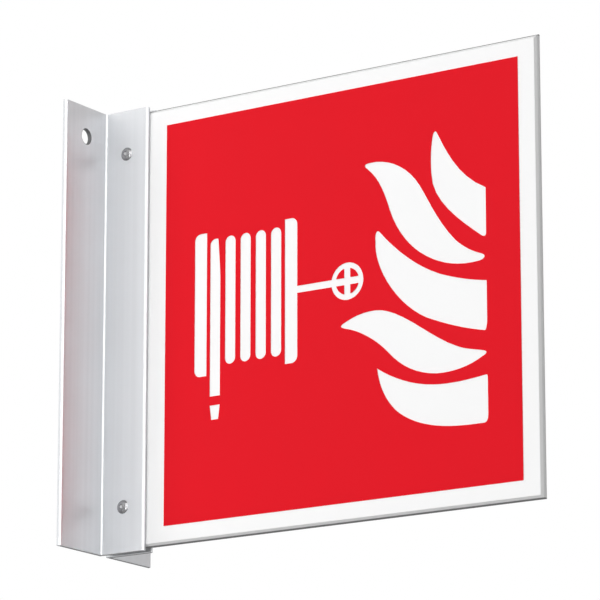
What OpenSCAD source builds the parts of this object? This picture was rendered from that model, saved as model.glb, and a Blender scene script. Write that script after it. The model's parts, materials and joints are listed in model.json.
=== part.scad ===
// Double-sided projecting wall sign: a rigid white panel with a red fire hose reel
// symbol on both faces, held by two blind rivets between the webs of two aluminium
// angles whose flanges screw to the wall on either side of it.
// Origin: on the wall, on the panel's middle plane, half way up. +X leads out of the
// wall, -Y is the side of the near face, +Z is up.

/* [Panel] */
// Height of the panel
panel_h = 200; // [150:1:400]
// Width of panel that shows beyond the webs of the angles
panel_show_w = 202; // [150:1:400]
// Thickness of the panel
panel_t = 4; // [3.5:0.5:10]
// Width of the 45 degree bevel round both faces
bevel_w = 1.5; // [0.5:0.1:1.9]
// Gap between the hidden edge of the panel and the wall
panel_setback = 1; // [0:0.5:8]

/* [Print] */
// Least width of the white border round the square red field
border_w = 8.5; // [4:0.5:30]
// Thickness of the red film
film_t = 0.2; // [0.1:0.05:0.5]

/* [Angles] */
// Reach of the angles past the top and bottom of the panel
overhang = 1.5; // [0:0.5:20]
// Reach of the web out of the wall
web_w = 25; // [16:1:60]
// Width of the flange along the wall
flange_w = 32; // [18:1:60]
// Thickness of web and flange
leg_t = 2; // [1.6:0.1:4]
// Radius of the root fillet
root_r = 1; // [0.4:0.1:3]
// Radius of the rounded toes
toe_r = 1.5; // [0.4:0.1:1.9]

/* [Wall holes] */
// Diameter of the wall hole in each flange
wall_hole_d = 7; // [3:0.5:12]
// Distance of the wall hole from the end of the angle
wall_hole_end = 14; // [8:0.5:60]

/* [Rivets] */
// Diameter of the rivet shank
rivet_d = 3.2; // [2.4:0.1:4.8]
// Diameter of the domed rivet head
head_d = 6.1; // [5.8:0.1:9.5]
// Height of the domed rivet head
head_h = 1.4; // [0.8:0.1:2.5]
// Diameter of the bulb formed behind the far web
bulb_d = 5; // [4.2:0.1:7]
// Length of the bulb
bulb_l = 3; // [2:0.1:6]
// Diameter of the mandrel left inside the rivet
mandrel_d = 1.8; // [1:0.1:2]
// Diameter of the mandrel's own head behind the bulb
mandrel_head_d = 2.8; // [2.3:0.1:3.1]
// Distance of each rivet from the end of the angles
rivet_end = 20.5; // [12:0.5:60]

/* [Hidden] */
// True circles are drawn with this many sides
$fn = 64;
// Straight steps in each curve of a flame
CURVE_STEPS = 8;
// Extra length of a cutting tool past each face
CUT = 1;
// Free play of a rivet in its hole, and of the mandrel in its rivet, on the diameter
HOLE_PLAY = 0.1;
// Depth of the mandrel's broken end below the top of the rivet's dome
BREAK_DEPTH = 0.3;
// Reach of the mandrel's head past the bulb
MANDREL_TIP = 0.9;

// Outer face of each web, where the rivets seat
web_face_y = panel_t / 2 + leg_t;
section_len = panel_h + 2 * overhang;
// Hidden and free edge of the panel along X
panel_x0 = panel_setback;
panel_x1 = web_w + panel_show_w;
// The square field is centred on what shows of the panel
field_x = web_w + panel_show_w / 2;
field_w = min(panel_h, panel_show_w) - 2 * border_w;
// Rivets and wall holes lie half way across the open face of their leg
rivet_x = (leg_t + web_w) / 2;
rivet_z = section_len / 2 - rivet_end;
hole_y = panel_t / 2 + (leg_t + flange_w) / 2;
hole_z = section_len / 2 - wall_hole_end;
// Distance between the seats of the rivet's head and bulb
grip = 2 * web_face_y;
// Radius of the sphere whose cap is the rivet's dome
dome_r = (head_d * head_d / 4 + head_h * head_h) / (2 * head_h);

// Point at t on the cubic curve from a to b, with handles ha and hb
function cubic(a, ha, hb, b, t) =
    pow(1 - t, 3) * a + 3 * pow(1 - t, 2) * t * ha + 3 * (1 - t) * t * t * hb + t * t * t * b;
// Points of one stretch of an outline: a curve where it has two handles, else a line
function stretch(s, next) =
    len(s) == 1 ? [s[0]]
    : [for (k = [0:CURVE_STEPS - 1]) cubic(s[0], s[1], s[2], next, k / CURVE_STEPS)];
// Closed outline from a ring of stretches, each given as [start] or [start, handle, handle]
function outline(ring) =
    [for (i = [0:len(ring) - 1]) each stretch(ring[i], ring[(i + 1) % len(ring)][0])];

// The symbol is set out in millimetres about the centre of a field of this side
SYMBOL_FIELD = 183;
FLAMES = [
    // Small flame at the top right
    [[[51, 64.5], [54.5, 58], [60.5, 43.5]], [[75, 36.5]], [[75, 17], [75, 15], [74, 15]],
     [[72.5, 16], [62, 24], [48, 34.5]], [[48, 47], [47.5, 53.5], [48, 60]],
     [[49, 64], [49.5, 65.5], [50.5, 65.5]]],
    // Long flame below it, with its tip to the left
    [[[17, 56.5], [25, 57], [34, 53]], [[40, 45.5], [45.5, 38.5], [49.5, 26.5]],
     [[60, 15.5], [64, 12], [68, 9.5]], [[72.5, 8], [75, 7], [74.5, 5.5]],
     [[71.5, 5], [62, 4], [53, 6]], [[45, 11], [36.5, 16], [30.5, 24]],
     [[27, 33.5], [24.5, 41], [22, 48.5]], [[15.5, 54], [13.5, 55.5], [14, 56.5]]],
    // Broad flame in the middle
    [[[22, 24.5], [30, 15.5], [40, 7]], [[52, 2], [60, -1], [68, -3]], [[75, -4]],
     [[75, -21], [75, -23], [74.5, -25]], [[74, -25.5], [64, -23.5], [54, -20]],
     [[45, -16], [36, -11.5], [28, -3]], [[23.5, 5.5], [21.5, 9.5], [19, 15.5]],
     [[19.5, 21], [19, 24], [20, 27]]],
    // Long flame with its tip nearest the valve
    [[[3, -13], [9, -10], [18, -8]], [[25, -10.5], [36, -14], [48, -25.5]],
     [[60, -30.5], [64.5, -32.5], [69.5, -33]], [[73, -34], [75, -34.5], [75, -35.5]],
     [[72.5, -36.5], [66, -40], [58, -41.5]], [[50, -41], [40, -40], [32, -35.5]],
     [[26, -29], [20, -22.5], [11, -17]], [[4, -15.5], [1, -14.5], [1, -14]]],
    // Broad flame at the bottom
    [[[20, -35], [28, -40.5], [38, -44.5]], [[48, -45.5], [57, -46.5], [66, -45.5]],
     [[74, -44.5], [75, -44.5], [75, -45]], [[75, -47]], [[75, -61], [75, -63.5], [74.5, -65]],
     [[73, -65], [66, -65], [58, -65]], [[50, -63.5], [42, -62], [34.5, -59]],
     [[29, -54], [24.5, -49.5], [21, -43.5]]]
];
// Hose reel: turns of hose between two plates
TURN_W = 5.5;
TURN_PITCH = 8.1;
TURNS = 5;
TURN_TOP = 35;
TURN_BOTTOM = -23;
FIRST_TURN_X = -64.5;
// Outer turn, which runs on past the reel and is a little slimmer at its top right
HOSE_RUN = [[[-67.25, -36.5]], [[-67.25, 32.5], [-67.1, 33.7], [-65.7, 34.7]], [[-64.7, 34.7]],
            [[-63.4, 34.7], [-63, 34.7], [-62.9, 34.3]], [[-62.8, 33.5], [-62.4, 28], [-61.9, 22]],
            [[-61.75, 17]], [[-61.75, -36.5]]];
NOZZLE_TOP = -40.5;
NOZZLE_BOTTOM = -47;
NOZZLE_TIP_W = 3.8;
PLATE_W = 6.6;
PLATE_TOP = 38;
PLATE_BOTTOM = -27;
PLATE_R = 3.1;
LEFT_PLATE_X = -75.6;
RIGHT_PLATE_X = -27.5;
// Valve wheel and its stem
WHEEL_X = 5;
WHEEL_Z = 5.5;
WHEEL_R = 8.3;
WHEEL_BORE_R = 5.9;
SPOKE_W = 3.2;

// Square corner of side r outside a quarter disc, centred on the disc
module corner_scrap(r) {
    difference() {
        square(r);
        circle(r);
    }
}

// Section of an angle: heel at the origin, web along X, flange along Y
module angle_section() {
    difference() {
        union() {
            square([web_w, leg_t]);
            square([leg_t, flange_w]);
            translate([leg_t + root_r, leg_t + root_r]) rotate(180) corner_scrap(root_r);
        }
        translate([web_w - toe_r, leg_t - toe_r]) corner_scrap(toe_r);
        translate([leg_t - toe_r, flange_w - toe_r]) corner_scrap(toe_r);
    }
}

// Round cutter along Y for one rivet, through webs and panel
module rivet_hole(z) {
    translate([rivet_x, 0, z]) rotate([90, 0, 0])
        cylinder(d = rivet_d + HOLE_PLAY, h = 2 * (web_face_y + CUT), center = true);
}

// Angle on the near side, with its wall hole at the top
module angle_solid() {
    difference() {
        translate([0, -panel_t / 2, 0]) mirror([0, 1, 0])
            linear_extrude(height = section_len, center = true) angle_section();
        for (side = [-1, 1]) rivet_hole(side * rivet_z);
        translate([-CUT, -hole_y, hole_z]) rotate([0, 90, 0])
            cylinder(d = wall_hole_d, h = leg_t + 2 * CUT);
    }
}

module near_angle() {
    color("silver") angle_solid();
}

// The same angle turned half round about the X axis, so its wall hole is at the bottom
module far_angle() {
    color("silver") rotate([180, 0, 0]) angle_solid();
}

// Slab section with all four corners bevelled, centred, w along X and panel_t along Y
module bevelled_section(w) {
    polygon([
        [-w / 2 + bevel_w, -panel_t / 2], [w / 2 - bevel_w, -panel_t / 2],
        [w / 2, -panel_t / 2 + bevel_w], [w / 2, panel_t / 2 - bevel_w],
        [w / 2 - bevel_w, panel_t / 2], [-w / 2 + bevel_w, panel_t / 2],
        [-w / 2, panel_t / 2 - bevel_w], [-w / 2, -panel_t / 2 + bevel_w]
    ]);
}

module sign_panel() {
    panel_w = panel_x1 - panel_x0;
    color("white") difference() {
        translate([(panel_x0 + panel_x1) / 2, 0, 0]) intersection() {
            linear_extrude(height = panel_h, center = true) bevelled_section(panel_w);
            rotate([0, 90, 0]) linear_extrude(height = panel_w, center = true)
                bevelled_section(panel_h);
        }
        for (side = [-1, 1]) rivet_hole(side * rivet_z);
    }
}

// Reel plate from its left edge x, with two rounded corners on the side away from the hose
module reel_plate(x, flip) {
    translate([x + PLATE_W / 2, 0]) mirror([flip ? 1 : 0, 0]) difference() {
        translate([-PLATE_W / 2, PLATE_BOTTOM]) square([PLATE_W, PLATE_TOP - PLATE_BOTTOM]);
        translate([PLATE_W / 2 - PLATE_R, PLATE_TOP - PLATE_R]) corner_scrap(PLATE_R);
        translate([PLATE_W / 2 - PLATE_R, PLATE_BOTTOM + PLATE_R]) mirror([0, 1])
            corner_scrap(PLATE_R);
    }
}

// One turn of hose about x, with round ends
module hose_turn(x) {
    r = TURN_W / 2;
    translate([x - r, TURN_BOTTOM + r]) square([TURN_W, TURN_TOP - TURN_BOTTOM - TURN_W]);
    for (z = [TURN_BOTTOM + r, TURN_TOP - r]) translate([x, z]) circle(r);
}

module hose_reel() {
    reel_plate(LEFT_PLATE_X, true);
    reel_plate(RIGHT_PLATE_X, false);
    polygon(outline(HOSE_RUN));
    for (i = [1:TURNS - 1]) hose_turn(FIRST_TURN_X + i * TURN_PITCH);
    translate([FIRST_TURN_X, 0]) polygon([
        [-TURN_W / 2, NOZZLE_TOP], [TURN_W / 2, NOZZLE_TOP],
        [NOZZLE_TIP_W / 2, NOZZLE_BOTTOM], [-NOZZLE_TIP_W / 2, NOZZLE_BOTTOM]
    ]);
}

module valve_wheel() {
    stem_x = RIGHT_PLATE_X + PLATE_W;
    spoke_r = (WHEEL_R + WHEEL_BORE_R) / 2;
    difference() {
        translate([WHEEL_X, WHEEL_Z]) circle(WHEEL_R);
        translate([WHEEL_X, WHEEL_Z]) circle(WHEEL_BORE_R);
    }
    translate([WHEEL_X - SPOKE_W / 2, WHEEL_Z - spoke_r]) square([SPOKE_W, 2 * spoke_r]);
    translate([stem_x - CUT, WHEEL_Z - SPOKE_W / 2])
        square([WHEEL_X + spoke_r - stem_x + CUT, SPOKE_W]);
}

// White symbol that the red film leaves open
module symbol() {
    hose_reel();
    valve_wheel();
    for (flame = FLAMES) polygon(outline(flame));
}

// Red film on the near face, with the symbol cut out so that the panel shows
module film() {
    translate([field_x, -panel_t / 2, 0]) rotate([90, 0, 0]) linear_extrude(height = film_t)
        difference() {
            square(field_w, center = true);
            scale(field_w / SYMBOL_FIELD) symbol();
        }
}

module near_print() {
    color("crimson") film();
}

// The same film turned about the field's upright axis, so that it reads the right way round
module far_print() {
    color("crimson") translate([field_x, 0, 0]) rotate([0, 0, 180]) translate([-field_x, 0, 0])
        film();
}

// Half section of a set rivet: dome above the near web, shank and bulb below it
module rivet_section() {
    bore_r = (mandrel_d + HOLE_PLAY) / 2;
    difference() {
        union() {
            intersection() {
                translate([0, head_h - dome_r]) circle(dome_r);
                square([head_d / 2, head_h]);
            }
            translate([0, -grip - bulb_l]) square([rivet_d / 2, grip + bulb_l]);
            translate([0, -grip - bulb_l]) intersection() {
                translate([0, bulb_l / 2]) circle(bulb_d / 2);
                square([bulb_d / 2, bulb_l]);
            }
        }
        translate([0, -grip - bulb_l - CUT]) square([bore_r, grip + bulb_l + head_h + 2 * CUT]);
    }
}

// Half section of the mandrel: stem inside the rivet, its own round head behind the bulb
module mandrel_section() {
    foot = -grip - bulb_l;
    top = head_h - BREAK_DEPTH;
    translate([0, foot - MANDREL_TIP / 2]) square([mandrel_d / 2, top - foot + MANDREL_TIP / 2]);
    intersection() {
        translate([0, foot]) circle(mandrel_head_d / 2);
        translate([0, foot - MANDREL_TIP]) square([mandrel_head_d / 2, MANDREL_TIP]);
    }
}

// Stands a section of revolution on the near web at height z
module on_web(z) {
    translate([rivet_x, -web_face_y, z]) rotate([90, 0, 0]) rotate_extrude() children();
}

module upper_rivet() {
    color("gainsboro") on_web(rivet_z) rivet_section();
}

module lower_rivet() {
    color("gainsboro") on_web(-rivet_z) rivet_section();
}

module upper_mandrel() {
    color("dimgray") on_web(rivet_z) mandrel_section();
}

module lower_mandrel() {
    color("dimgray") on_web(-rivet_z) mandrel_section();
}

near_angle();
far_angle();
sign_panel();
near_print();
far_print();
upper_rivet();
lower_rivet();
upper_mandrel();
lower_mandrel();
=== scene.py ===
"""Projecting fire hose reel sign: its rounded aluminium angles, routed white panel, red film and
set blind rivets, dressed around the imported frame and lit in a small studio."""

import json
import math

import bmesh
import bpy
import numpy as np
from bpy.props import FloatProperty, FloatVectorProperty, PointerProperty
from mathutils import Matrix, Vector


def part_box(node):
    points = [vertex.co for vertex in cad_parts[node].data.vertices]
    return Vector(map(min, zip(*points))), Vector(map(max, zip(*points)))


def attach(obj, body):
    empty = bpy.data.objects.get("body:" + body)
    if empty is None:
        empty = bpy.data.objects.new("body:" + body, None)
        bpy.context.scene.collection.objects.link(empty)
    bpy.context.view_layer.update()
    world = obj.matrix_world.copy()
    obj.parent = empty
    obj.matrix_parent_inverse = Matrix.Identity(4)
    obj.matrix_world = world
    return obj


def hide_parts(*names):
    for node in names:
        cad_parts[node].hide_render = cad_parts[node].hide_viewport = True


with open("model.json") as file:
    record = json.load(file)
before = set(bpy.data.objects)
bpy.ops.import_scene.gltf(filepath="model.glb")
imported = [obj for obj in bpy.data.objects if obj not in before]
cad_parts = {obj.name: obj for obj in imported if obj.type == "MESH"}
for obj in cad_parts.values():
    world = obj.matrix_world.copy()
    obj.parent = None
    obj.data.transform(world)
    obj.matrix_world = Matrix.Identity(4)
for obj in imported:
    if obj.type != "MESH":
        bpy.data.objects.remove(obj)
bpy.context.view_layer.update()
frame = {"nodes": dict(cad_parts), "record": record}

bl_info = {
    "name": "Projecting Hose Reel Sign",
    "version": (1, 0, 0),
    "blender": (4, 5, 0),
    "location": "3D View > Sidebar > Hose Reel Sign",
    "description": "Builds the angles, panel, film and rivets of a projecting fire hose reel sign",
    "category": "Add Mesh",
}

MM = 0.001
BODY = "root"
# Points closer together than this are one point
WELD = 1e-8
# Straight steps in each rounded corner of the angles' section
CORNER_STEPS = 8
# Distance from a rounding to the grid line that holds the flat beside it flat in the shading
HOLD = 0.3 * MM
# Reach of the drilled square past the wall of its hole
WALL_HOLE_MARGIN = 2 * MM
RIVET_HOLE_MARGIN = 1.4 * MM
# Grid lines across a drilled square, less one
WALL_HOLE_STEPS = 16
RIVET_HOLE_STEPS = 8
# Rounding of the rims of the panel's holes
PANEL_HOLE_BREAK = 0.1 * MM
# Even grid lines along the angles, and over the panel's width and height
ANGLE_LINES = 21
PANEL_LINES_X = 25
PANEL_LINES_Z = 23
# Points round the rivets and mandrels
RIVET_SIDES = 64
# Darkening of the cut metal, which is painted shade on the cut ends and bores, of the routed edge, and
# of its outermost arris at the side and along the top and bottom, which is a painted shade line, each
# as a share of the base colour or of the routed edge's
CUT_PAINTED_SHADE = 0.22
ROUTED_SHADE = 0.88
SIDE_ARRIS_PAINTED_SHADE = 0.8
LEVEL_ARRIS_PAINTED_SHADE = 0.22
# Width over which the routed skin turns into the painted shade line at the arris
ARRIS_BLEND = 0.08 * MM
# Half the floor's side in metres, and the points along the side
FLOOR_HALF = 14.0
FLOOR_POINTS = 5
# Where the lamps and the cards stand, seen from the sign. The first card draws the bright lines on
# toes and roots, the second is what the webs reflect, and the third lights the rivets' domes.
KEY_FROM = (-0.454, -0.799, 0.395)
BACK_FROM = (0.35, 0.80, 0.45)
SIDE_FROM = (0.97, -0.10, -0.10)
TOE_CARD_FROM = (0.86, -0.46, 0.24)
WEB_CARD_FROM = (-0.56, -0.80, 0.24)
DOME_CARD_FROM = (0.47, -0.88, 0.10)
# Share of plain white in the floor as the camera and reflections see it
FLOOR_GLOW = 0.8
# Edges that turn more than this are drawn sharp
SHARP_TURN = math.radians(32)
RECORD_COLOURS = {m["slot"]: m["base_color"] for m in frame["record"]["materials"]}
WALL_SCREWS = next(m for m in frame["record"]["mounts"] if m["name"] == "wall_screws")
PANEL_LOW, PANEL_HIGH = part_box("sign_panel")
ANGLE_LOW, ANGLE_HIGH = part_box("near_angle")
HEAD_LOW, HEAD_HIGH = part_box("upper_rivet")
STEM_LOW, STEM_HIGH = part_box("upper_mandrel")
PANEL_T = PANEL_HIGH.y - PANEL_LOW.y


def length(name, description, default, low=0.0, high=1.0):
    """Property for one length in metres."""
    return FloatProperty(
        name=name, description=description, default=default, min=low, max=high,
        precision=5, unit="LENGTH", subtype="DISTANCE",
    )


def colour(name, description, default):
    """Property for one linear colour."""
    return FloatVectorProperty(
        name=name, description=description, default=default, size=3, min=0, max=1, subtype="COLOR",
    )


class SignSizes(bpy.types.PropertyGroup):
    """Sizes of the sign that the frame's boxes don't give."""

    leg_t: length("Angle thickness", "Thickness of web and flange", 2 * MM)
    root_r: length("Root radius", "Fillet between web and flange", 1 * MM)
    toe_r: length("Toe radius", "Rounding of the inner edge of each toe", 1.5 * MM)
    die_r: length("Corner radius", "Rounding that the die leaves on the outer corners", 0.3 * MM)
    cut_r: length("Cut end rounding", "Rounding of the deburred ends of the angles", 0.2 * MM)
    wall_hole_r: length(
        "Wall hole radius", "Radius of the wall hole in each flange",
        WALL_SCREWS["dims"]["hole_r_mm"] * MM,
    )
    hole_break: length("Hole edge break", "Rounding of the rim of each drilled hole", 0.15 * MM)
    bevel_w: length("Panel bevel", "Width of the 45 degree bevel round both faces", 1.5 * MM)
    arris_r: length("Panel arris", "Rounding where the bevel meets face and edge", 0.18 * MM)
    # The grey outline is a painted shade line along the panel's edge
    grey_w: length("Grey arris", "Width of the grey outline along the panel's edge", 0.55 * MM)
    shank_r: length("Rivet shank radius", "Radius of the rivet's shank", 1.6 * MM)
    stem_r: length("Mandrel stem radius", "Radius of the mandrel's stem", 0.9 * MM)
    head_h: length("Rivet head height", "Height of the domed head over the web", 1.4 * MM)
    bulb_r: length("Rivet bulb radius", "Radius of the bulb behind the far web", 2.5 * MM)
    bulb_l: length("Rivet bulb length", "Length of the bulb", 3 * MM)
    play: length("Hole play", "Clearance of rivet and mandrel in their holes, on the radius", 0.05 * MM)


class SignColours(bpy.types.PropertyGroup):
    """Linear base colours, those of the pieces as the record states them."""

    angle: colour("Angle", "Satin anodised aluminium", RECORD_COLOURS["angle"])
    panel: colour("Panel", "White sheet", RECORD_COLOURS["panel"])
    film: colour("Film", "Signal red film", RECORD_COLOURS["print"])
    rivet: colour("Rivet", "Dull grey rivet", RECORD_COLOURS["rivet"])
    mandrel: colour("Mandrel", "Broken steel", RECORD_COLOURS["mandrel"])
    floor: colour("Floor", "Pale studio floor", (0.5, 0.5, 0.5))


class StudioSettings(bpy.types.PropertyGroup):
    """Camera and light."""

    azimuth: FloatProperty(
        name="Azimuth", description="Camera's turn to the right of the view along +Y",
        default=math.radians(33.91), subtype="ANGLE", unit="ROTATION",
    )
    elevation: FloatProperty(
        name="Elevation", description="Camera's height above the sign as an angle",
        default=math.radians(-14.04), subtype="ANGLE", unit="ROTATION",
    )
    distance: length("Distance", "From the camera to its target", 1.6574, 0.1, 10)
    slide: length("Target slide", "Target's place right of the sign's centre", -6.99 * MM, -1, 1)
    lens: FloatProperty(
        name="Focal length", description="Camera's focal length on a 36 mm sensor",
        default=229.64, unit="CAMERA",
    )
    floor_z: length("Floor height", "Height of the floor below the sign", -1.4, -5, 0)
    ambient: FloatProperty(
        name="Ambient", description="Strength of the even light from all round", default=0.24,
        min=0, max=1,
    )
    key_share: FloatProperty(
        name="Key light", description="Brightness that the key light gives a white surface facing it",
        default=1.09, min=0, max=2,
    )
    back_share: FloatProperty(
        name="Back light", description="The same for the light behind the sign", default=0.6,
        min=0, max=2,
    )
    side_share: FloatProperty(
        name="Side light", description="The same for the weak light that grazes the near face",
        default=0.12, min=0, max=2,
    )
    toe_glow: FloatProperty(
        name="Toe card", description="Brightness of the card that lights toes and roots",
        default=3.0, min=0, max=20,
    )
    web_glow: FloatProperty(
        name="Web card", description="Brightness of the card that the webs reflect",
        default=0.65, min=0, max=20,
    )
    dome_glow: FloatProperty(
        name="Dome card", description="Brightness of the narrow card that the rivets reflect",
        default=11.0, min=0, max=20,
    )
    lamp_size: length("Lamp size", "Side of the square lamps", 3.6, 0.1, 10)
    lamp_distance: length("Lamp distance", "From the lamps to the sign", 3.6, 0.1, 10)
    toe_card_w: length("Toe card width", "Width of the toe card", 1.3, 0.1, 10)
    web_card_w: length("Web card width", "Width of the web card", 2.75, 0.1, 10)
    dome_card_w: length("Dome card width", "Width of the rivets' card", 0.22, 0.1, 10)
    card_h: length("Card height", "Height of the cards", 3.6, 0.1, 10)
    card_distance: length("Card distance", "From the cards to the sign", 2.0, 0.1, 10)


def arc(centre, radius, start, end, steps, hollow=False):
    """Points centre + radius * (cos a, sin a) for a from start to end in degrees, and the
    directions that point out of the metal there: away from the centre, or to it when hollow."""
    a = np.radians(np.linspace(start, end, steps + 1))
    ray = np.column_stack((np.cos(a), np.sin(a)))
    return np.asarray(centre) + radius * ray, -ray if hollow else ray


def straight(points, normal):
    """Points of a straight stretch, all with the same outward direction."""
    points = np.asarray(points, float)
    return points, np.tile(np.asarray(normal, float), (len(points), 1))


def joined(stretches):
    """One chain of points and one of outward directions from several stretches."""
    return np.vstack([s[0] for s in stretches]), np.vstack([s[1] for s in stretches])


def grid_quads(rows, cols, close_rows=False, close_cols=False):
    """Corner numbers of the cells of a grid whose points are numbered row by row:
    (i, j), (i+1, j), (i+1, j+1), (i, j+1), wrapping round where a direction is closed."""
    i, j = np.meshgrid(
        np.arange(rows - (not close_rows)), np.arange(cols - (not close_cols)), indexing="ij"
    )
    i2, j2 = (i + 1) % rows, (j + 1) % cols
    return np.stack([i * cols + j, i2 * cols + j, i2 * cols + j2, i * cols + j2], -1)


def drill_lines(centre, half, steps):
    """Grid lines across a drilled square: centre + half * tan(a) for a from -45 to 45 degrees,
    so that rays from the centre to the square's edge are evenly spread."""
    return centre + half * np.tan(np.radians(np.linspace(-45, 45, steps + 1)))


def merged_lines(*groups):
    """Sorted grid lines, with lines closer than a micrometre drawn once."""
    lines = np.unique(np.concatenate([np.atleast_1d(g) for g in groups]))
    return lines[np.concatenate([[True], np.diff(lines) > 1e-6])]


def line_at(lines, value):
    """Number of the grid line that lies at value."""
    return int(np.argmin(np.abs(lines - value)))


def square_ring(p, z):
    """Points round the edge of the rectangle of grid lines p x z, in order, without a repeat."""
    low, high = np.full(len(p), z[0]), np.full(len(p), z[-1])
    left, right = np.full(len(z), p[0]), np.full(len(z), p[-1])
    sides = [
        np.column_stack((p, low))[:-1], np.column_stack((right, z))[:-1],
        np.column_stack((p, high))[:0:-1], np.column_stack((left, z))[:0:-1],
    ]
    return np.vstack(sides)


def drilled_hole(ring, centre, radius, edge_break, depth_0, depth_1, steps=4):
    """Surface of a drilled hole as a grid: each ray from the centre starts at the square ring on
    one face, rolls over a rounded rim of radius edge_break, runs down the bore and comes out to the
    same ring on the other face. Gives points (p, z, depth), closed round the ring."""
    ray = ring - centre
    reach = np.linalg.norm(ray, axis=1)
    ray /= reach[:, None]
    a = np.radians(np.linspace(0, 90, steps + 1))
    rim_r = radius + edge_break * (1 - np.sin(a))
    rim_d = edge_break * (1 - np.cos(a))
    rim_r = np.concatenate([[radius + 2 * edge_break], rim_r])
    rim_d = np.concatenate([[0.0], rim_d])
    r = np.concatenate([rim_r, rim_r[::-1]])
    depth = np.concatenate([depth_0 + rim_d, (depth_1 - rim_d)[::-1]])
    flat = centre + r[:, None, None] * ray[None]
    flat = np.concatenate([ring[None], flat, ring[None]])
    depth = np.concatenate([[depth_0], depth, [depth_1]])
    deep = np.broadcast_to(depth[:, None, None], flat.shape[:2] + (1,))
    return np.concatenate([flat, deep], axis=2)


def weld(patches):
    """Joins patches of (points, quads, material number) into one point list, face list and material
    list. Points that coincide become one, and a quad that has lost a corner becomes a triangle."""
    starts = np.cumsum([0] + [len(p[0]) for p in patches])
    points = np.vstack([p[0] for p in patches])
    quads = np.vstack([p[1].reshape(-1, 4) + s for p, s in zip(patches, starts)])
    marks = np.concatenate([np.full(p[1].size // 4, p[2]) for p in patches])
    keys = np.round(points / WELD).astype(np.int64)
    _, first, back = np.unique(keys, axis=0, return_index=True, return_inverse=True)
    points, quads = points[first], back.reshape(-1)[quads]
    faces, kinds = [], []
    same = np.stack([quads[:, k] == quads[:, (k + 1) % 4] for k in range(4)], 1)
    whole = ~same.any(axis=1)
    faces += quads[whole].tolist()
    kinds.append(marks[whole])
    for k in range(4):
        lost = same[:, k] & (same.sum(axis=1) == 1)
        keep = [c for c in range(4) if c != k]
        faces += quads[lost][:, keep].tolist()
        kinds.append(marks[lost])
    return points, faces, np.concatenate(kinds)


def new_piece(name, patches, materials, slot, *nodes):
    """Object from patches, faces outward and smooth up to the sharp turn, that rides on the body,
    takes the finishes it is given and stands for the CAD nodes, which it hides. The slot is not used."""
    points, faces, kinds = weld(patches)
    mesh = bpy.data.meshes.new(name)
    mesh.from_pydata(points, [], faces)
    mesh.polygons.foreach_set("material_index", kinds.astype(np.int32))
    work = bmesh.new()
    work.from_mesh(mesh)
    bmesh.ops.recalc_face_normals(work, faces=work.faces)
    if any(not e.is_manifold for e in work.edges):
        raise RuntimeError(f"{name}: the surface is not closed")
    work.to_mesh(mesh)
    work.free()
    mesh.shade_smooth()
    mesh.set_sharp_from_angle(angle=SHARP_TURN)
    for material in materials:
        mesh.materials.append(material)
    piece = bpy.data.objects.new(name, mesh)
    bpy.context.scene.collection.objects.link(piece)
    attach(piece, BODY)
    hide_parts(*nodes)
    return piece


def turned(profile, x, z, sides):
    """Surface of revolution about the line along Y at (x, z): profile points (r, y) become
    (x + r cos a, y, z + r sin a) for a all the way round."""
    a = np.linspace(0, 2 * np.pi, sides, endpoint=False)
    r, y = profile[:, :1], profile[:, 1:]
    return np.stack([x + r * np.cos(a), y + 0 * a, z + r * np.sin(a)], -1)


def rounded_corner(corner, before, after, radius, steps=5):
    """Points of the arc of a radius that blends the corner between the lines to before and after."""
    corner, before, after = (np.asarray(v, float) for v in (corner, before, after))
    to_b = (before - corner) / np.linalg.norm(before - corner)
    to_a = (after - corner) / np.linalg.norm(after - corner)
    half = math.acos(float(np.clip(to_b @ to_a, -1, 1))) / 2
    centre = corner + (to_a + to_b) / np.linalg.norm(to_a + to_b) * radius / math.sin(half)
    start = corner + to_b * radius / math.tan(half) - centre
    end = corner + to_a * radius / math.tan(half) - centre
    sweep = math.pi - 2 * half
    t = np.linspace(0, sweep, steps + 1)[:, None]
    return centre + (start * np.sin(sweep - t) + end * np.sin(t)) / math.sin(sweep)


def angle_chains(sizes, flange_lines, web_lines):
    """Section of an angle with its heel at the origin, web along a and flange along b. The back
    chain goes over the heel and the front chain over the root fillet, both from flange toe to web
    toe and point for point abreast, each with the directions that point out of the metal."""
    flange_w, web_w = ANGLE_HIGH.y - ANGLE_LOW.y, ANGLE_HIGH.x - ANGLE_LOW.x
    t, die, toe, root = sizes.leg_t, sizes.die_r, sizes.toe_r, sizes.root_r
    down = flange_lines[::-1]
    back = joined([
        arc((die, flange_w - die), die, 90, 180, CORNER_STEPS),
        straight(np.column_stack((0 * down, down)), (-1, 0)),
        arc((die, die), die, 180, 270, CORNER_STEPS),
        straight(np.column_stack((web_lines, 0 * web_lines)), (0, -1)),
        arc((web_w - die, die), die, 270, 360, CORNER_STEPS),
    ])
    front = joined([
        arc((t - toe, flange_w - toe), toe, 90, 0, CORNER_STEPS),
        straight(np.column_stack((0 * down + t, down)), (1, 0)),
        arc((t + root, t + root), root, 180, 270, CORNER_STEPS, hollow=True),
        straight(np.column_stack((web_lines, 0 * web_lines + t)), (0, 1)),
        arc((web_w - toe, t - toe), toe, 90, 0, CORNER_STEPS),
    ])
    return back, front


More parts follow.
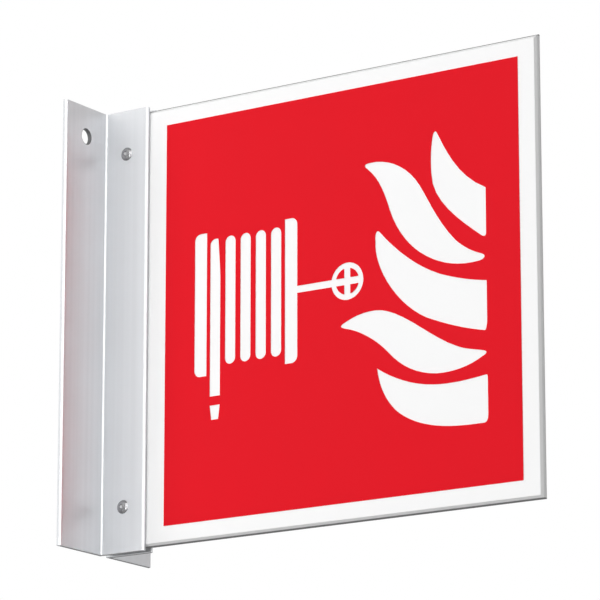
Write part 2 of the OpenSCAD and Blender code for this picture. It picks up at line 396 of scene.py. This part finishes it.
def angle_patches(sizes):
    """An angle as its section carried along Z between two rounded cut ends. The skin is a grid of
    section points by heights, the ends are ladders between the two chains, and each drilled square
    is left out of the skin and filled by the hole's own grid. Points are (a, b, z)."""
    t = sizes.leg_t
    flange_w, web_w = ANGLE_HIGH.y - ANGLE_LOW.y, ANGLE_HIGH.x - ANGLE_LOW.x
    half_l = (ANGLE_HIGH.z - ANGLE_LOW.z) / 2
    rivet_x, rivet_z = (HEAD_LOW.x + HEAD_HIGH.x) / 2, (HEAD_LOW.z + HEAD_HIGH.z) / 2
    hole_b = (t + flange_w) / 2
    hole_z = math.sqrt((WALL_SCREWS["dims"]["pcd_mm"] * MM / 2) ** 2 - (PANEL_T / 2 + hole_b) ** 2)
    wall_half = sizes.wall_hole_r + WALL_HOLE_MARGIN
    rivet_half = sizes.shank_r + RIVET_HOLE_MARGIN
    edge = max(sizes.toe_r, t + sizes.root_r)
    flange_lines = merged_lines(
        edge + HOLD, drill_lines(hole_b, wall_half, WALL_HOLE_STEPS),
        flange_w - sizes.toe_r - HOLD,
    )
    web_lines = merged_lines(
        edge + HOLD, drill_lines(rivet_x, rivet_half, RIVET_HOLE_STEPS),
        web_w - sizes.toe_r - HOLD,
    )
    back, front = angle_chains(sizes, flange_lines, web_lines)
    loop = np.vstack([back[0], front[0][::-1]])
    out = np.vstack([back[1], front[1][::-1]])
    straight_z = half_l - sizes.cut_r
    body_z = merged_lines(
        np.linspace(-straight_z, straight_z, ANGLE_LINES), HOLD - straight_z, straight_z - HOLD,
        drill_lines(hole_z, wall_half, WALL_HOLE_STEPS),
        drill_lines(rivet_z, rivet_half, RIVET_HOLE_STEPS),
        drill_lines(-rivet_z, rivet_half, RIVET_HOLE_STEPS),
    )
    turn = np.radians([30, 60, 90])
    rise, inset = sizes.cut_r * np.sin(turn), sizes.cut_r * (1 - np.cos(turn))
    z = np.concatenate([body_z[0] - rise[::-1], body_z, body_z[-1] + rise])
    inset = np.concatenate([inset[::-1], 0 * body_z, inset])
    flat = loop[:, None] - out[:, None] * inset[None, :, None]
    skin = np.concatenate([flat, np.broadcast_to(z[None, :, None], flat.shape[:2] + (1,))], axis=2)
    cells = grid_quads(len(loop), len(z), close_rows=True)
    kept = np.ones(cells.shape[:2], bool)
    count, arc_points = len(back[0]), CORNER_STEPS + 1
    web_start = 2 * arc_points + len(flange_lines)
    bore_r = sizes.shank_r + sizes.play
    patches = []
    holes = [
        (flange_lines, arc_points, hole_b, hole_z, wall_half, sizes.wall_hole_r, True),
        (web_lines, web_start, rivet_x, rivet_z, rivet_half, bore_r, False),
        (web_lines, web_start, rivet_x, -rivet_z, rivet_half, bore_r, False),
    ]
    for lines, start, p, height, half, radius, in_flange in holes:
        p_0, p_1 = line_at(lines, p - half), line_at(lines, p + half)
        z_0, z_1 = line_at(z, height - half), line_at(z, height + half)
        if in_flange:
            row_0, row_1 = start + len(lines) - 1 - p_1, start + len(lines) - 1 - p_0
        else:
            row_0, row_1 = start + p_0, start + p_1
        kept[row_0:row_1, z_0:z_1] = False
        kept[2 * count - 1 - row_1:2 * count - 1 - row_0, z_0:z_1] = False
        ring = square_ring(lines[p_0:p_1 + 1], z[z_0:z_1 + 1])
        hole = drilled_hole(ring, np.array([p, height]), radius, sizes.hole_break, 0, t)
        order = [2, 0, 1] if in_flange else [0, 2, 1]
        quads = grid_quads(*hole.shape[:2], close_cols=True)
        points = hole[..., order].reshape(-1, 3)
        patches += [(points, quads[:1], 0), (points, quads[1:-1], 1), (points, quads[-1:], 0)]
    patches.append((skin.reshape(-1, 3), cells[kept], 0))
    for column in (0, len(z) - 1):
        rail = np.stack([skin[:count, column], skin[count:, column][::-1]])
        patches.append((rail.reshape(-1, 3), grid_quads(2, count), 1))
    return patches


def placed_angle(patches, side):
    """Patches (a, b, z) set on the sign: side -1 is the near angle, and side 1 the far one, which
    is the near one turned half round about X."""
    def place(points):
        a, b, z = points.T
        return np.column_stack((a, side * (PANEL_T / 2 + b), -side * z))
    return [(place(points), quads, kind) for points, quads, kind in patches]


def panel_patches(sizes):
    """The panel as two drilled face grids and a rim: the face's edge carried through a half
    section of bevel, edge flat and bevel, whose four corners are arcs of the arris radius."""
    half_t, bevel, arris = PANEL_T / 2, sizes.bevel_w, sizes.arris_r
    mid = np.array([(PANEL_LOW.x + PANEL_HIGH.x) / 2, (PANEL_LOW.z + PANEL_HIGH.z) / 2])
    half = np.array([(PANEL_HIGH.x - PANEL_LOW.x) / 2, (PANEL_HIGH.z - PANEL_LOW.z) / 2])
    corners = np.array([
        [-bevel, -half_t], [0, bevel - half_t], [0, half_t - bevel], [-bevel, half_t]
    ])
    slopes = np.radians([-90, -45, 0, 45, 90])
    facing = np.column_stack((np.cos(slopes), np.sin(slopes)))
    rim = []
    for corner, low, high, a, b in zip(corners, facing[:-1], facing[1:], slopes[:-1], slopes[1:]):
        centre = corner - arris * (low + high) / (1 + low @ high)
        rim.append(arc(centre, arris, math.degrees(a), math.degrees(b), 4)[0])
    rim = np.vstack(rim)
    face = half + rim[0, 0]
    rivet_x, rivet_z = (HEAD_LOW.x + HEAD_HIGH.x) / 2, (HEAD_LOW.z + HEAD_HIGH.z) / 2
    rivet_half = sizes.shank_r + RIVET_HOLE_MARGIN
    x = merged_lines(
        np.linspace(mid[0] - face[0], mid[0] + face[0], PANEL_LINES_X),
        mid[0] - face[0] + HOLD, mid[0] + face[0] - HOLD,
        drill_lines(rivet_x, rivet_half, RIVET_HOLE_STEPS),
    )
    z = merged_lines(
        np.linspace(mid[1] - face[1], mid[1] + face[1], PANEL_LINES_Z),
        mid[1] - face[1] + HOLD, mid[1] + face[1] - HOLD,
        drill_lines(rivet_z, rivet_half, RIVET_HOLE_STEPS),
        drill_lines(-rivet_z, rivet_half, RIVET_HOLE_STEPS),
    )
    cells = grid_quads(len(x), len(z))
    kept = np.ones(cells.shape[:2], bool)
    patches = []
    for height in (rivet_z, -rivet_z):
        x_0, x_1 = line_at(x, rivet_x - rivet_half), line_at(x, rivet_x + rivet_half)
        z_0, z_1 = line_at(z, height - rivet_half), line_at(z, height + rivet_half)
        kept[x_0:x_1, z_0:z_1] = False
        ring = square_ring(x[x_0:x_1 + 1], z[z_0:z_1 + 1])
        hole = drilled_hole(
            ring, np.array([rivet_x, height]), sizes.shank_r + sizes.play, PANEL_HOLE_BREAK,
            -half_t, half_t,
        )
        quads = grid_quads(*hole.shape[:2], close_cols=True)
        patches.append((hole[..., [0, 2, 1]].reshape(-1, 3), quads, 0))
    grid_x, grid_z = np.meshgrid(x, z, indexing="ij")
    for y in (-half_t, half_t):
        points = np.stack([grid_x, np.full_like(grid_x, y), grid_z], -1).reshape(-1, 3)
        patches.append((points, cells[kept], 0))
    # Each point of the face's edge, as a share of the half widths, moves out with the rim
    share = (square_ring(x, z) - mid) / face
    flat = mid + share[None] * (half[None, None] + rim[:, None, :1])
    deep = np.broadcast_to(rim[:, 1][:, None], flat.shape[:2])
    around = np.stack([flat[..., 0], deep, flat[..., 1]], -1)
    patches.append((around.reshape(-1, 3), grid_quads(*around.shape[:2], close_cols=True), 1))
    return patches


def rivet_profile(sizes):
    """Closed half section (r, h) of a set blind rivet, h being 0 on the near web: a dome that is a
    cap of a sphere with a shallow ring pressed in by the tool, a seat, shank and folded bulb, and
    the bore."""
    head_r = (HEAD_HIGH.x - HEAD_LOW.x) / 2
    dome_r = (head_r ** 2 + sizes.head_h ** 2) / (2 * sizes.head_h)
    bore_r = sizes.stem_r + sizes.play
    grip = PANEL_T + 2 * sizes.leg_t
    lip, ring_r, ring_w, ring_depth = 0.12 * MM, 1.75 * MM, 0.28 * MM, 0.05 * MM
    r = np.linspace(bore_r + lip, head_r * 0.985, 26)
    cap = sizes.head_h - dome_r + np.sqrt(dome_r ** 2 - r ** 2)
    cap = cap - ring_depth * np.exp(-((r - ring_r) / ring_w) ** 2)
    dome = np.column_stack((r, cap))
    foot = grip + sizes.bulb_l
    edge = 0.12 * MM
    rim = rounded_corner((head_r, edge), dome[-1], (head_r, 0), edge * 0.6, 4)
    under = np.array([[head_r, 0.02 * MM], [head_r - 0.04 * MM, 0], [sizes.shank_r, 0]])
    h = np.linspace(0, sizes.bulb_l, 13)[1:-1]
    barrel = np.sqrt(sizes.bulb_r ** 2 - (h - sizes.bulb_l / 2) ** 2)
    end_r = math.sqrt(sizes.bulb_r ** 2 - (sizes.bulb_l / 2) ** 2)
    bulb = np.column_stack((barrel, -grip - h))
    seat = np.array([[sizes.shank_r, -grip], [end_r, -grip]])
    fold = rounded_corner((end_r, -foot), bulb[-1], (bore_r, -foot), 0.3 * MM, 4)
    bore = np.array([[bore_r, -foot], [bore_r, sizes.head_h - 2 * lip]])
    top = rounded_corner(
        (bore_r, dome[0, 1]), (bore_r, sizes.head_h - 2 * lip), dome[0], lip * 0.8, 4
    )
    return np.vstack([dome, rim, under, seat, bulb, fold, bore, top])


def mandrel_profile(sizes):
    """Open half section (r, h) of the mandrel, from its broken tip on the axis down the stem to
    its own round head behind the bulb."""
    foot = PANEL_T + 2 * sizes.leg_t + sizes.bulb_l
    broken = sizes.head_h - 0.3 * MM
    tip = sizes.bulb_l + sizes.head_h
    neck = sizes.stem_r * 0.86
    head_r = 1.4 * MM
    head_h = (STEM_HIGH.y - STEM_LOW.y) - (foot + broken)
    a = np.linspace(0, math.asin(head_h / head_r), 9)
    head = np.column_stack((head_r * np.cos(a), -foot - head_r * np.sin(a)))
    top = np.array([
        [0, broken - 0.16 * MM], [neck * 0.45, broken - 0.13 * MM], [neck * 0.8, broken - 0.02 * MM],
        [neck * 0.97, broken], [neck, broken - 0.05 * MM], [sizes.stem_r * 0.96, broken - 0.3 * MM],
        [sizes.stem_r, broken - 0.5 * MM], [sizes.stem_r, broken - 0.5 * tip],
        [sizes.stem_r, -foot + 0.45 * MM], [head_r * 0.9, -foot + 0.12 * MM],
    ])
    return np.vstack([top, head, [[head[-1, 0] * 0.5, head[-1, 1]], [0, head[-1, 1]]]])


class NodeBench:
    """Short hand for building one node material on Object coordinates."""

    def __init__(self, name):
        self.material = bpy.data.materials.new(name)
        self.material.use_nodes = True
        self.nodes = self.material.node_tree.nodes
        self.links = self.material.node_tree.links
        self.shader = self.nodes["Principled BSDF"]
        self.coordinates = self.nodes.new("ShaderNodeTexCoord").outputs["Object"]

    def set(self, **values):
        """Sets the shader's own sockets: keyword base_color is the socket Base Color."""
        names = {socket.name.lower().replace(" ", "_"): socket for socket in self.shader.inputs}
        for key, value in values.items():
            names[key].default_value = value
        return self

    def noise(self, scale, detail=2.0, rough=0.5, stretch=(1, 1, 1)):
        """Noise between 0 and 1, scale in cells per metre, divided by stretch along each axis."""
        mapping = self.nodes.new("ShaderNodeMapping")
        mapping.inputs["Scale"].default_value = [scale / s for s in stretch]
        noise = self.nodes.new("ShaderNodeTexNoise")
        noise.inputs["Scale"].default_value = 1
        noise.inputs["Detail"].default_value = detail
        noise.inputs["Roughness"].default_value = rough
        self.links.new(self.coordinates, mapping.inputs["Vector"])
        self.links.new(mapping.outputs["Vector"], noise.inputs["Vector"])
        return noise.outputs["Fac"]

    def spread(self, value, low, high):
        """Value of the middle of a noise (0.3 to 0.7) spread over low to high."""
        node = self.nodes.new("ShaderNodeMapRange")
        node.inputs["From Min"].default_value = 0.3
        node.inputs["From Max"].default_value = 0.7
        node.inputs["To Min"].default_value = low
        node.inputs["To Max"].default_value = high
        self.links.new(value, node.inputs["Value"])
        return node.outputs["Result"]

    def past(self, axis, start, end):
        """0 where the distance from the origin along an axis is under start, 1 where past end."""
        split = self.nodes.new("ShaderNodeSeparateXYZ")
        self.links.new(self.coordinates, split.inputs[0])
        distance = self.nodes.new("ShaderNodeMath")
        distance.operation = "ABSOLUTE"
        self.links.new(split.outputs[axis], distance.inputs[0])
        node = self.nodes.new("ShaderNodeMapRange")
        node.inputs["From Min"].default_value = start
        node.inputs["From Max"].default_value = end
        self.links.new(distance.outputs[0], node.inputs["Value"])
        return node.outputs["Result"]

    def mix(self, factor, first, second):
        """Colour that goes from first to second as the factor goes from 0 to 1. First is a colour
        or the result of another mix."""
        node = self.nodes.new("ShaderNodeMix")
        node.data_type = "RGBA"
        slots = {s.name: s for s in node.inputs if s.type == "RGBA"}
        if isinstance(first, bpy.types.NodeSocket):
            self.links.new(first, slots["A"])
        else:
            slots["A"].default_value = (*first, 1)
        slots["B"].default_value = (*second, 1)
        self.links.new(factor, node.inputs["Factor"])
        return next(s for s in node.outputs if s.type == "RGBA")

    def blend(self, value, first, second):
        """Colour that goes from first to second as a noise goes from 0.3 to 0.7."""
        return self.mix(self.spread(value, 0, 1), first, second)

    def drive(self, socket, value):
        """Feeds a socket of the shader."""
        self.links.new(value, self.shader.inputs[socket])
        return self

    def bump(self, *layers):
        """Bump from layers of (value, depth in metres), one on top of the other."""
        below = None
        for value, depth in layers:
            node = self.nodes.new("ShaderNodeBump")
            node.inputs["Distance"].default_value = depth
            self.links.new(value, node.inputs["Height"])
            if below:
                self.links.new(below, node.inputs["Normal"])
            below = node.outputs["Normal"]
        self.links.new(below, self.shader.inputs["Normal"])
        return self


def shade(base, factor):
    """A colour made lighter or darker by a factor."""
    return [min(1.0, c * factor) for c in base]


def extruded_aluminium(base):
    """Satin anodised skin: the die's fine lines run along Z, over a faint cloudiness."""
    bench = NodeBench("satin_anodised_extrusion").set(metallic=0.7)
    die_lines = bench.noise(2600, 3, 0.6, (1, 1, 900))
    streaks = bench.noise(420, 2, 0.5, (1, 1, 160))
    cloud = bench.noise(38, 2, 0.5)
    grain = bench.noise(9000, 2, 0.6)
    bench.drive("Base Color", bench.blend(streaks, shade(base, 0.93), shade(base, 0.98)))
    bench.drive("Roughness", bench.spread(cloud, 0.38, 0.43))
    return bench.bump((die_lines, 0.004 * MM), (grain, 0.003 * MM)).material


def painted_shade_cut_aluminium(base):
    """Saw-cut ends and drilled bores: painted shade makes them dark, on dull metal with fine scratches
    across.
    """
    # The dark base is painted shade on the cut ends and bores
    base = shade(base, CUT_PAINTED_SHADE)
    bench = NodeBench("saw_cut_aluminium").set(metallic=1.0)
    scratches = bench.noise(5200, 3, 0.6, (60, 1, 1))
    patches = bench.noise(700, 2, 0.5, (6, 1, 1))
    bench.drive("Base Color", bench.blend(patches, base, shade(base, 1.06)))
    bench.drive("Roughness", bench.spread(scratches, 0.42, 0.56))
    return bench.bump((scratches, 0.008 * MM)).material


def white_sheet(base):
    """Moulded sheet face: semi-gloss with a very faint orange peel."""
    bench = NodeBench("white_sheet_face").set(specular_ior_level=0.35)
    peel = bench.noise(650, 2, 0.5)
    cloud = bench.noise(30, 2, 0.5)
    bench.drive("Base Color", bench.blend(cloud, shade(base, 0.995), base))
    bench.drive("Roughness", bench.spread(cloud, 0.3, 0.36))
    return bench.bump((peel, 0.004 * MM)).material


def routed_edge(base, painted_outline_width):
    """Routed bevels and edges: the cutter leaves them duller, with faint marks across, and a painted
    shade line greys the outermost arris all round, darker along the top and bottom."""
    bench = NodeBench("routed_sheet_edge").set(specular_ior_level=0.3)
    base = shade(base, ROUTED_SHADE)
    marks = bench.noise(1500, 3, 0.6)
    chatter = bench.noise(520, 2, 0.5, (1, 14, 1))
    start_x, start_z = PANEL_HIGH.x - painted_outline_width, PANEL_HIGH.z - painted_outline_width
    # Masks of the painted shade line at the side and along the top and bottom
    painted_side_outline = bench.past("X", start_x, start_x + ARRIS_BLEND)
    painted_level_outline = bench.past("Z", start_z, start_z + ARRIS_BLEND)
    skin = bench.blend(marks, shade(base, 0.985), base)
    side = bench.mix(painted_side_outline, skin, shade(base, SIDE_ARRIS_PAINTED_SHADE))
    bench.drive("Base Color", bench.mix(painted_level_outline, side, shade(base, LEVEL_ARRIS_PAINTED_SHADE)))
    bench.drive("Roughness", bench.spread(marks, 0.46, 0.56))
    return bench.bump((chatter, 0.006 * MM), (marks, 0.004 * MM)).material


def red_film(base):
    """Cast film: even and slightly glossy, with the faint texture of the sheet under it."""
    bench = NodeBench("signal_red_film").set(specular_ior_level=0.06)
    peel = bench.noise(650, 2, 0.5)
    grain = bench.noise(5200, 2, 0.6)
    cloud = bench.noise(22, 2, 0.5)
    bench.drive("Base Color", bench.blend(cloud, shade(base, 0.985), base))
    bench.drive("Roughness", bench.spread(cloud, 0.32, 0.38))
    return bench.bump((peel, 0.004 * MM), (grain, 0.001 * MM)).material


def rivet_aluminium(base):
    """Cold-headed aluminium that has dulled: darker and smoother than the angles, lightly scuffed."""
    bench = NodeBench("domed_rivet").set(metallic=1.0)
    scuffs = bench.noise(2400, 3, 0.65)
    bench.drive("Base Color", bench.blend(scuffs, shade(base, 0.96), shade(base, 1.03)))
    bench.drive("Roughness", bench.spread(scuffs, 0.16, 0.22))
    return bench.bump((scuffs, 0.006 * MM)).material


def broken_steel(base):
    """Mandrel: dark drawn steel with a coarse break."""
    bench = NodeBench("broken_mandrel_steel").set(metallic=1.0)
    grain = bench.noise(7000, 4, 0.7)
    bench.drive("Base Color", bench.blend(grain, shade(base, 0.8), shade(base, 1.25)))
    bench.drive("Roughness", bench.spread(grain, 0.42, 0.6))
    return bench.bump((grain, 0.03 * MM)).material


class HOSESIGN_OT_angles(bpy.types.Operator):
    """Build both aluminium angles with rounded die corners, deburred ends and drilled holes"""

    bl_idname = "hose_sign.angles"
    bl_label = "Build Angles"

    def execute(self, context):
        sizes, colours = context.scene.hose_sign_sizes, context.scene.hose_sign_colours
        # The second finish paints shade on the cut ends and bores
        materials = [extruded_aluminium(colours.angle), painted_shade_cut_aluminium(colours.angle)]
        patches = angle_patches(sizes)
        for name, side in (("near_angle", -1), ("far_angle", 1)):
            new_piece(name + "_metal", placed_angle(patches, side), materials, "angle", name)
        return {"FINISHED"}


class HOSESIGN_OT_panel(bpy.types.Operator):
    """Build the white panel with routed bevels, softened arrises and drilled holes"""

    bl_idname = "hose_sign.panel"
    bl_label = "Build Panel"

    def execute(self, context):
        sizes, colours = context.scene.hose_sign_sizes, context.scene.hose_sign_colours
        # The routed edge carries the painted shade line along the panel's edge
        materials = [white_sheet(colours.panel), routed_edge(colours.panel, sizes.grey_w)]
        new_piece("sign_panel_sheet", panel_patches(sizes), materials, "panel", "sign_panel")
        return {"FINISHED"}


class HOSESIGN_OT_film(bpy.types.Operator):
    """Give the cut film on both faces its red finish"""

    bl_idname = "hose_sign.film"
    bl_label = "Dress Film"

    def execute(self, context):
        material = red_film(context.scene.hose_sign_colours.film)
        for name in ("near_print", "far_print"):
            mesh = frame["nodes"][name].data
            mesh.materials.clear()
            mesh.materials.append(material)
        return {"FINISHED"}


class HOSESIGN_OT_rivets(bpy.types.Operator):
    """Build both set blind rivets and the mandrel ends inside them"""

    bl_idname = "hose_sign.rivets"
    bl_label = "Build Rivets"

    def execute(self, context):
        sizes, colours = context.scene.hose_sign_sizes, context.scene.hose_sign_colours
        web_y = PANEL_LOW.y - sizes.leg_t
        parts = [
            ("rivet", rivet_profile(sizes), True, rivet_aluminium(colours.rivet)),
            ("mandrel", mandrel_profile(sizes), False, broken_steel(colours.mandrel)),
        ]
        for kind, profile, closed, material in parts:
            profile = profile * (1, -1) + (0, web_y)
            for level in ("upper", "lower"):
                node = f"{level}_{kind}"
                low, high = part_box(node)
                x, z = (low.x + high.x) / 2, (low.z + high.z) / 2
                points = turned(profile, x, z, RIVET_SIDES)
                quads = grid_quads(*points.shape[:2], close_rows=closed, close_cols=True)
                new_piece(
                    f"{node}_metal", [(points.reshape(-1, 3), quads, 0)], [material], kind, node
                )
        return {"FINISHED"}


def back_of_camera(azimuth, elevation):
    """Direction from the target to the camera: (sin a cos e, -cos a cos e, sin e)."""
    return Vector((
        math.sin(azimuth) * math.cos(elevation), -math.cos(azimuth) * math.cos(elevation),
        math.sin(elevation),
    ))


def add_camera(scene, studio):
    """Camera at the photograph's angle, level, looking at the sign's centre moved aside a little."""
    centre = Vector((PANEL_HIGH.x / 2, 0, 0))
    right = Vector((math.cos(studio.azimuth), math.sin(studio.azimuth), 0))
    back = back_of_camera(studio.azimuth, studio.elevation)
    data = bpy.data.cameras.new("photo_camera")
    data.sensor_width = 36
    data.lens = studio.lens
    data.clip_start = 0.05
    camera = bpy.data.objects.new("photo_camera", data)
    camera.location = centre + right * studio.slide + back * studio.distance
    camera.rotation_euler = (-back).to_track_quat("-Z", "Y").to_euler()
    scene.collection.objects.link(camera)
    scene.camera = camera


def add_panel_light(name, toward, watts, width, height, distance):
    """Rectangular area lamp that stands in a direction from the sign and faces it."""
    toward = Vector(toward).normalized()
    data = bpy.data.lights.new(name, "AREA")
    data.shape = "RECTANGLE"
    data.size, data.size_y = width, height
    data.energy = watts
    lamp = bpy.data.objects.new(name, data)
    lamp.location = Vector((PANEL_HIGH.x / 2, 0, 0)) + toward * distance
    lamp.rotation_euler = (-toward).to_track_quat("-Z", "Y").to_euler()
    lamp.visible_camera = False
    bpy.context.scene.collection.objects.link(lamp)
    return lamp


def add_softbox(name, toward, share, studio):
    """Lamp that reflections don't see. A white surface that faces it gets share of full brightness,
    for which the lamp needs share * pi squared * distance squared watts."""
    size, distance = studio.lamp_size, studio.lamp_distance
    watts = share * math.pi ** 2 * distance ** 2
    add_panel_light(name, toward, watts, size, size, distance).visible_glossy = False


def add_card(name, toward, glow, width, studio):
    """Bright card that only reflections see. Its watts are brightness * pi * area."""
    height = studio.card_h
    watts = glow * math.pi * width * height
    card = add_panel_light(name, toward, watts, width, height, studio.card_distance)
    card.visible_diffuse = False


def seen_directly(nodes, links):
    """Socket that is 1 for camera, glossy and transmission rays and 0 for light that scatters."""
    path = nodes.new("ShaderNodeLightPath")
    value = path.outputs["Is Camera Ray"]
    for name in ("Is Glossy Ray", "Is Transmission Ray"):
        either = nodes.new("ShaderNodeMath")
        either.operation = "MAXIMUM"
        links.new(value, either.inputs[0])
        links.new(path.outputs[name], either.inputs[1])
        value = either.outputs[0]
    return value


def add_world(scene, ambient):
    """Even light of the ambient strength, and plain white where the camera, a reflection or a
    look through something sees the background."""
    world = bpy.data.worlds.new("white_studio")
    world.use_nodes = True
    nodes, links = world.node_tree.nodes, world.node_tree.links
    nodes.clear()
    dim = nodes.new("ShaderNodeBackground")
    dim.inputs["Color"].default_value = (1, 1, 1, 1)
    dim.inputs["Strength"].default_value = ambient
    white = nodes.new("ShaderNodeBackground")
    white.inputs["Color"].default_value = (1, 1, 1, 1)
    white.inputs["Strength"].default_value = 1
    mix = nodes.new("ShaderNodeMixShader")
    links.new(seen_directly(nodes, links), mix.inputs["Fac"])
    links.new(dim.outputs[0], mix.inputs[1])
    links.new(white.outputs[0], mix.inputs[2])
    output = nodes.new("ShaderNodeOutputWorld")
    links.new(mix.outputs[0], output.inputs["Surface"])
    scene.world = world


def add_floor(height, base):
    """Pale floor: a square grid at one height."""
    side = np.linspace(-FLOOR_HALF, FLOOR_HALF, FLOOR_POINTS)
    x, y = np.meshgrid(side + PANEL_HIGH.x / 2, side, indexing="ij")
    points = np.stack([x, y, np.full_like(x, height)], -1).reshape(-1, 3)
    mesh = bpy.data.meshes.new("studio_floor")
    quads = grid_quads(FLOOR_POINTS, FLOOR_POINTS).reshape(-1, 4)
    mesh.from_pydata(points, [], quads.tolist())
    bench = NodeBench("pale_floor").set(roughness=0.8, specular_ior_level=0.2)
    bench.drive("Base Color", bench.blend(bench.noise(3, 2), shade(base, 0.99), base))
    seen = seen_directly(bench.nodes, bench.links)
    share = bench.nodes.new("ShaderNodeMath")
    share.operation = "MULTIPLY"
    share.inputs[1].default_value = FLOOR_GLOW
    bench.links.new(seen, share.inputs[0])
    glow = bench.nodes.new("ShaderNodeEmission")
    mix = bench.nodes.new("ShaderNodeMixShader")
    bench.links.new(share.outputs[0], mix.inputs["Fac"])
    bench.links.new(bench.shader.outputs[0], mix.inputs[1])
    bench.links.new(glow.outputs[0], mix.inputs[2])
    bench.links.new(mix.outputs[0], bench.nodes["Material Output"].inputs["Surface"])
    mesh.materials.append(bench.material)
    floor = bpy.data.objects.new("studio_floor", mesh)
    bpy.context.scene.collection.objects.link(floor)


class HOSESIGN_OT_stage(bpy.types.Operator):
    """Set up the camera, the soft lamps, the white surroundings and the floor"""

    bl_idname = "hose_sign.stage"
    bl_label = "Set Stage"

    def execute(self, context):
        scene = context.scene
        studio = scene.hose_sign_studio
        scene.view_settings.view_transform = "Standard"
        add_camera(scene, studio)
        add_world(scene, studio.ambient)
        add_softbox("key_light", KEY_FROM, studio.key_share, studio)
        add_softbox("back_light", BACK_FROM, studio.back_share, studio)
        add_softbox("side_light", SIDE_FROM, studio.side_share, studio)
        add_card("toe_card", TOE_CARD_FROM, studio.toe_glow, studio.toe_card_w, studio)
        add_card("web_card", WEB_CARD_FROM, studio.web_glow, studio.web_card_w, studio)
        add_card("dome_card", DOME_CARD_FROM, studio.dome_glow, studio.dome_card_w, studio)
        add_floor(studio.floor_z, scene.hose_sign_colours.floor)
        return {"FINISHED"}


class HOSESIGN_PT_panel(bpy.types.Panel):
    """Sidebar list of the sign's builders"""

    bl_idname = "HOSESIGN_PT_panel"
    bl_label = "Hose Reel Sign"
    bl_space_type = "VIEW_3D"
    bl_region_type = "UI"
    bl_category = "Hose Reel Sign"

    def draw(self, context):
        for operator in OPERATORS:
            self.layout.operator(operator.bl_idname)


OPERATORS = (
    HOSESIGN_OT_stage, HOSESIGN_OT_angles, HOSESIGN_OT_panel, HOSESIGN_OT_film,
    HOSESIGN_OT_rivets,
)
CLASSES = (SignSizes, SignColours, StudioSettings) + OPERATORS + (HOSESIGN_PT_panel,)


def register():
    """Registers the classes and hangs the settings on the scene."""
    for cls in CLASSES:
        bpy.utils.register_class(cls)
    bpy.types.Scene.hose_sign_sizes = PointerProperty(type=SignSizes)
    bpy.types.Scene.hose_sign_colours = PointerProperty(type=SignColours)
    bpy.types.Scene.hose_sign_studio = PointerProperty(type=StudioSettings)


def unregister():
    """Takes back what register did."""
    del bpy.types.Scene.hose_sign_studio
    del bpy.types.Scene.hose_sign_colours
    del bpy.types.Scene.hose_sign_sizes
    for cls in reversed(CLASSES):
        bpy.utils.unregister_class(cls)


def main():
    """Builds everything in order."""
    register()
    bpy.ops.hose_sign.stage()
    bpy.ops.hose_sign.angles()
    bpy.ops.hose_sign.panel()
    bpy.ops.hose_sign.film()
    bpy.ops.hose_sign.rivets()


if __name__ == "__main__":
    main()
